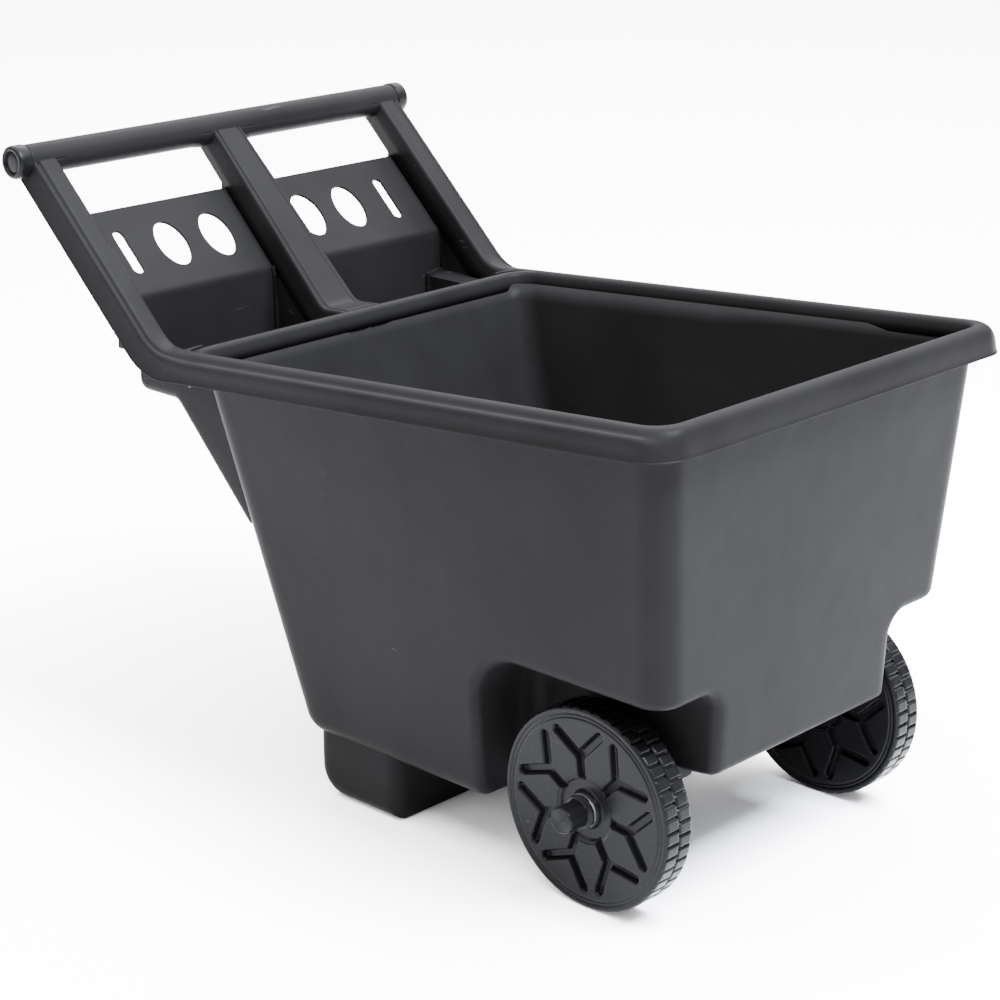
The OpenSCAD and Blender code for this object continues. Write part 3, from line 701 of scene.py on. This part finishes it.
for side, sign in (("right", -1), ("left", 1)):
    cutHoles(trayPiece("toolTray_" + side, "tool_tray_" + side, sign), sign)
print("trays are made")


footShape = {"x0": 1000 * footLow.x - axleX, "x1": 1000 * footHigh.x - axleX, "half": 1000 * footHigh.y,
             "heelR": 28.0, "toeR": 5.0, "uprightR": 14.0, "top": 1000 * footHigh.z + 4.0}


def footDistance(p):
    # distance outside a block with a rolled heel, round upright corners and a small edge round the sole
    f = footShape
    x, y, z = p[..., 0], np.abs(p[..., 1]), p[..., 2]
    heel = roundMax(f["x0"] - x, -z, f["heelR"])
    toe = roundMax(x - f["x1"], -z, f["toeR"])
    return roundMax(np.maximum(heel, toe), y - f["half"] + 0.02 * np.maximum(0, 40 - z), f["uprightR"])


def footGrid():
    # lines run from the top, down each wall and over the sole to its middle
    f = footShape
    x0, x1, y = f["x0"], f["x1"], f["half"]
    mid = (x0 + x1) / 2
    loop = np.array([[x1, 0], [x1, -y], [x0, -y], [x0, 0]], float)
    loop = alongPath(loop, [40, 30, 40])
    heights = f["top"] * (1 - spaced(26, 0.8))
    wallRows = np.stack([np.concatenate([loop, np.full((len(loop), 1), k)], 1) for k in heights])
    centre = np.stack([np.clip(loop[:, 0], mid - 20, mid + 20), np.zeros(len(loop)), np.zeros(len(loop))], 1)
    sole = mix(wallRows[-1][None], centre[None], spaced(20, 0.3)[1:, None, None])
    grid = settle(np.concatenate([wallRows, sole]), footDistance)
    grid[:, 0, 1] = 0
    grid[:, -1, 1] = 0
    grid[-1, :, 1] = 0
    return grid


foot = footGrid()
makePiece("rearFoot", [foot, foot * [1, -1, 1]], tubPlastic, "cart", ["rear_foot"],
          facing=(0, 0, -1), wall=3.5)
print("foot is made")


wheelShape = {"r": axleZ, "faceY": 175.0, "halfWidth": 16.0, "bore": 9.42, "boss": 15.2, "bossEnd": 16.6,
              "recessOut": 25.5, "recess": 3.6, "step": 29.0, "stepDepth": 0.9, "edgeR": 3.2, "lugs": 48,
              "lugShare": 0.8, "lugHeight": 2.5, "spokes": 7, "stem": 0.34, "fork": 0.53, "tip": 0.79,
              "spread": 19.0, "forkR": 5.0, "channelHalf": 4.9, "channelDepth": 6.0, "chamfer": 2.2,
              "grooves": (80.1, 83.0), "grooveHalf": 0.7, "grooveDepth": 1.1, "spin": 97.0, "hub": 2.0}


def toStem(u, v, au, av, bu, bv):
    # distance from each point to the line from a to b
    lu, lv = bu - au, bv - av
    t = np.clip(((u - au) * lu + (v - av) * lv) / (lu * lu + lv * lv), 0, 1)
    return np.hypot(u - au - t * lu, v - av - t * lv)


def faceHeight(r, turn, spin):
    # height of the wheel's face: the boss, less the ring-shaped recess, the step, the forked channels
    # and the two thin grooves
    w = wheelShape
    height = w["hub"] * (1 - ease((r - w["boss"]) / (w["bossEnd"] - w["boss"])))
    well = ease((r - w["bossEnd"] + 0.6) / 1.6) * (1 - ease((r - w["recessOut"]) / 2.2))
    height = height - w["recess"] * well
    height = height - w["stepDepth"] * ease((r - w["recessOut"]) / 1.5) * (1 - ease((r - w["step"]) / 1.2))
    sector = 2 * math.pi / w["spokes"]
    folded = np.mod(turn - math.radians(spin) + sector / 2, sector) - sector / 2
    u, v = r * np.cos(folded), np.abs(r * np.sin(folded))
    root = w["fork"] * w["r"]
    spread = math.radians(w["spread"])
    tip = w["tip"] * w["r"] * np.array([math.cos(spread), math.sin(spread)])
    away = -roundMax(-toStem(u, v, w["stem"] * w["r"], 0, root, 0), -toStem(u, v, root, 0, *tip), w["forkR"])
    depth = w["channelDepth"] * (1 - ease((away - w["channelHalf"] + w["chamfer"]) / w["chamfer"]))
    height = height - depth
    for ring in w["grooves"]:
        height = height - w["grooveDepth"] * np.exp(-((r - ring) / w["grooveHalf"]) ** 2)
    return height


def wheelHalf(name, side, sign, faceSign, lugTurn, hub):
    # the face is a height over radius and angle; the tread is a height over width and angle
    w = wheelShape
    count = 672
    turn = np.linspace(0, 2 * math.pi, count + 1)[None]
    lip = w["r"] - w["edgeR"]
    r = np.concatenate([np.linspace(w["bore"], 31, 34), np.linspace(31.8, lip, 70)])[:, None]
    height = faceHeight(r, turn, w["spin"])
    if not hub:
        height = np.minimum(height, 0)
    face = (np.repeat(r, count + 1, 1), height)
    pitch = 2 * math.pi / w["lugs"]
    phase = np.abs(np.mod(turn - lugTurn + pitch / 2, pitch) - pitch / 2) / pitch
    lug = 1 - ease((phase - w["lugShare"] / 2 + 0.05) / 0.07)
    arc = np.linspace(0, math.pi / 2, 7)[1:, None]
    edge = (lip + w["edgeR"] * np.sin(arc), w["edgeR"] * (np.cos(arc) - 1))
    across = np.array([4.2, 5.5, 7.5, 9.5, 11.5, 13.0, 14.2, 15.0, 15.5, 15.9])[:, None]
    crown = w["r"] - 0.9 * ease((across - 14.2) / 1.8)
    treadR = np.concatenate([edge[0], crown])
    treadH = np.concatenate([edge[1], -across])
    gap = ease((-treadH - 0.5) / 2.5)
    treadR = treadR - w["lugHeight"] * (1 - lug) * gap
    back = np.array([[w["r"] - 6, -16], [w["bore"], -16], [w["bore"], -8], [w["bore"], 0.0]])
    back[3, 1] = float(height[0, 0])
    radius = np.concatenate([face[0], treadR, back[:, :1] + 0 * turn])
    reach = np.concatenate([face[1], treadH + 0 * turn, back[:, 1:] + 0 * turn])
    outside = w["faceY"] if faceSign > 0 else w["faceY"] - 2 * w["halfWidth"]
    x = radius * np.cos(turn)
    z = axleZ + radius * np.sin(turn)
    y = sign * (outside + faceSign * reach)
    return makePiece(name, [np.stack([x, y, z], -1)], wheelPlastic, side + "_wheel",
                     [("wheel_outer_half_" if hub else "wheel_inner_half_") + side])


hubShape = {"r": 500 * (hubHigh.z - hubLow.z), "foot": 1000 * hubLow.y, "end": 1000 * hubHigh.y, "bore": 6.45,
            "capR": 11.5, "ringStep": 1.9, "ringDepth": 0.35}


def hubCap(side, sign):
    # a domed cap with fine rings on its end, on a thin flange
    h = hubShape
    rows = [[h["bore"], h["foot"]], [h["r"] - 0.5, h["foot"]], [h["r"], h["foot"] + 0.5],
            [h["r"], h["foot"] + 2.2], [h["r"] - 0.6, h["foot"] + 2.9], [h["capR"] + 1.6, h["foot"] + 3.0],
            [h["capR"] + 0.5, h["foot"] + 3.6], [h["capR"], h["foot"] + 5.0],
            [h["capR"], h["end"] - 2.0], [h["capR"] - 0.25, h["end"] - 1.0],
            [h["capR"] - 0.9, h["end"] - 0.3], [h["capR"] - 1.6, h["end"]]]
    r = np.linspace(h["capR"] - 1.8, 0, 44)
    cycle = 2 * math.pi * (h["capR"] - 1.8 - r) / h["ringStep"]
    wave = h["ringDepth"] * (0.5 - 0.5 * np.cos(cycle)) * (r > 1.2)
    rows += [[float(a), float(h["end"] - 0.05 - b)] for a, b in zip(r, wave)]
    rows = rows + [[0, h["end"] - 5], [h["bore"], h["end"] - 5], [h["bore"], h["foot"]]]
    return makePiece("hubCap_" + side, [turned(rows, (0, axleZ), 96, sign)], wheelPlastic, "cart",
                     ["hub_cap_" + side])


for side, sign in (("right", -1), ("left", 1)):
    wheelHalf("wheelOuter_" + side, side, sign, 1, 0.0, True)
    wheelHalf("wheelInner_" + side, side, sign, -1, math.pi / wheelShape["lugs"], False)
    hubCap(side, sign)
print("wheels are made")


for node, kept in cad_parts.items():
    if kept.hide_render:
        continue
    if node == "axle" or "washer" in node:
        finish = zincSteel
    elif "saddle" in node:
        finish = tubPlastic
    else:
        finish = trimPlastic
    kept.data.materials.clear()
    kept.data.materials.append(finish)


floorMesh = bpy.data.meshes.new("floor")
half = 14.0  # metres from the middle of the floor to its edge
floorCorners = [(-half, -half, 0), (half, -half, 0), (half, half, 0), (-half, half, 0)]
floorMesh.from_pydata(floorCorners, [], [(0, 1, 2, 3)])
floor = bpy.data.objects.new("floor", floorMesh)
bpy.context.scene.collection.objects.link(floor)
paper = bpy.data.materials.new("palePaper")
paper.use_nodes = True
paperSurface = paper.node_tree.nodes["Principled BSDF"]
paperSurface.inputs["Base Color"].default_value = (0.93, 0.93, 0.935, 1)
paperSurface.inputs["Roughness"].default_value = 0.8
paperSurface.inputs["Specular IOR Level"].default_value = 0.2
floorMesh.materials.append(paper)

world = bpy.data.worlds.new("studio")
world.use_nodes = True
world.node_tree.nodes["Background"].inputs["Color"].default_value = (0.97, 0.98, 1.0, 1)
world.node_tree.nodes["Background"].inputs["Strength"].default_value = 2.0
bpy.context.scene.world = world


def softLight(name, place, aim, size, power, colour):
    # a rectangular lamp at its place, turned so that it shines at the aim
    lamp = bpy.data.lights.new(name, "AREA")
    lamp.shape = "RECTANGLE"
    lamp.size, lamp.size_y = size
    lamp.energy = power
    lamp.color = colour
    holder = bpy.data.objects.new(name, lamp)
    bpy.context.scene.collection.objects.link(holder)
    holder.location = place
    holder.rotation_mode = "QUATERNION"
    holder.rotation_quaternion = (Vector(aim) - Vector(place)).to_track_quat("-Z", "Y")


softLight("overhead", (-1.5, 1.5, 5.0), (-1.5, 1.5, 0), (11.0, 11.0), 5600, (1.0, 1.0, 1.0))
softLight("frontRight", (1.9, 0.2, 3.6), (-0.2, 0, 0.35), (1.6, 2.0), 1700, (0.86, 0.9, 1.0))
softLight("nearSide", (-0.8, -3.0, 1.4), (0, 0, 0.2), (2.2, 1.6), 60, (1.0, 0.99, 0.97))

cameraShape = {"place": (1.2748, -1.6252, 1.0025), "azimuth": 43.376, "elevation": 18.465, "lens": 92.69}
camera = bpy.data.cameras.new("camera")
camera.lens = cameraShape["lens"]
camera.sensor_width = 36.0
camera.clip_end = 60.0
viewer = bpy.data.objects.new("camera", camera)
bpy.context.scene.collection.objects.link(viewer)
aside, above = math.radians(cameraShape["azimuth"]), math.radians(cameraShape["elevation"])
back = Vector((math.sin(aside) * math.cos(above), -math.cos(aside) * math.cos(above), math.sin(above)))
viewer.location = Vector(cameraShape["place"]) + Vector((axleX / 1000, 0, 0))
viewer.rotation_mode = "QUATERNION"
viewer.rotation_quaternion = (-back).to_track_quat("-Z", "Y")
bpy.context.scene.camera = viewer

print("scene is ready")
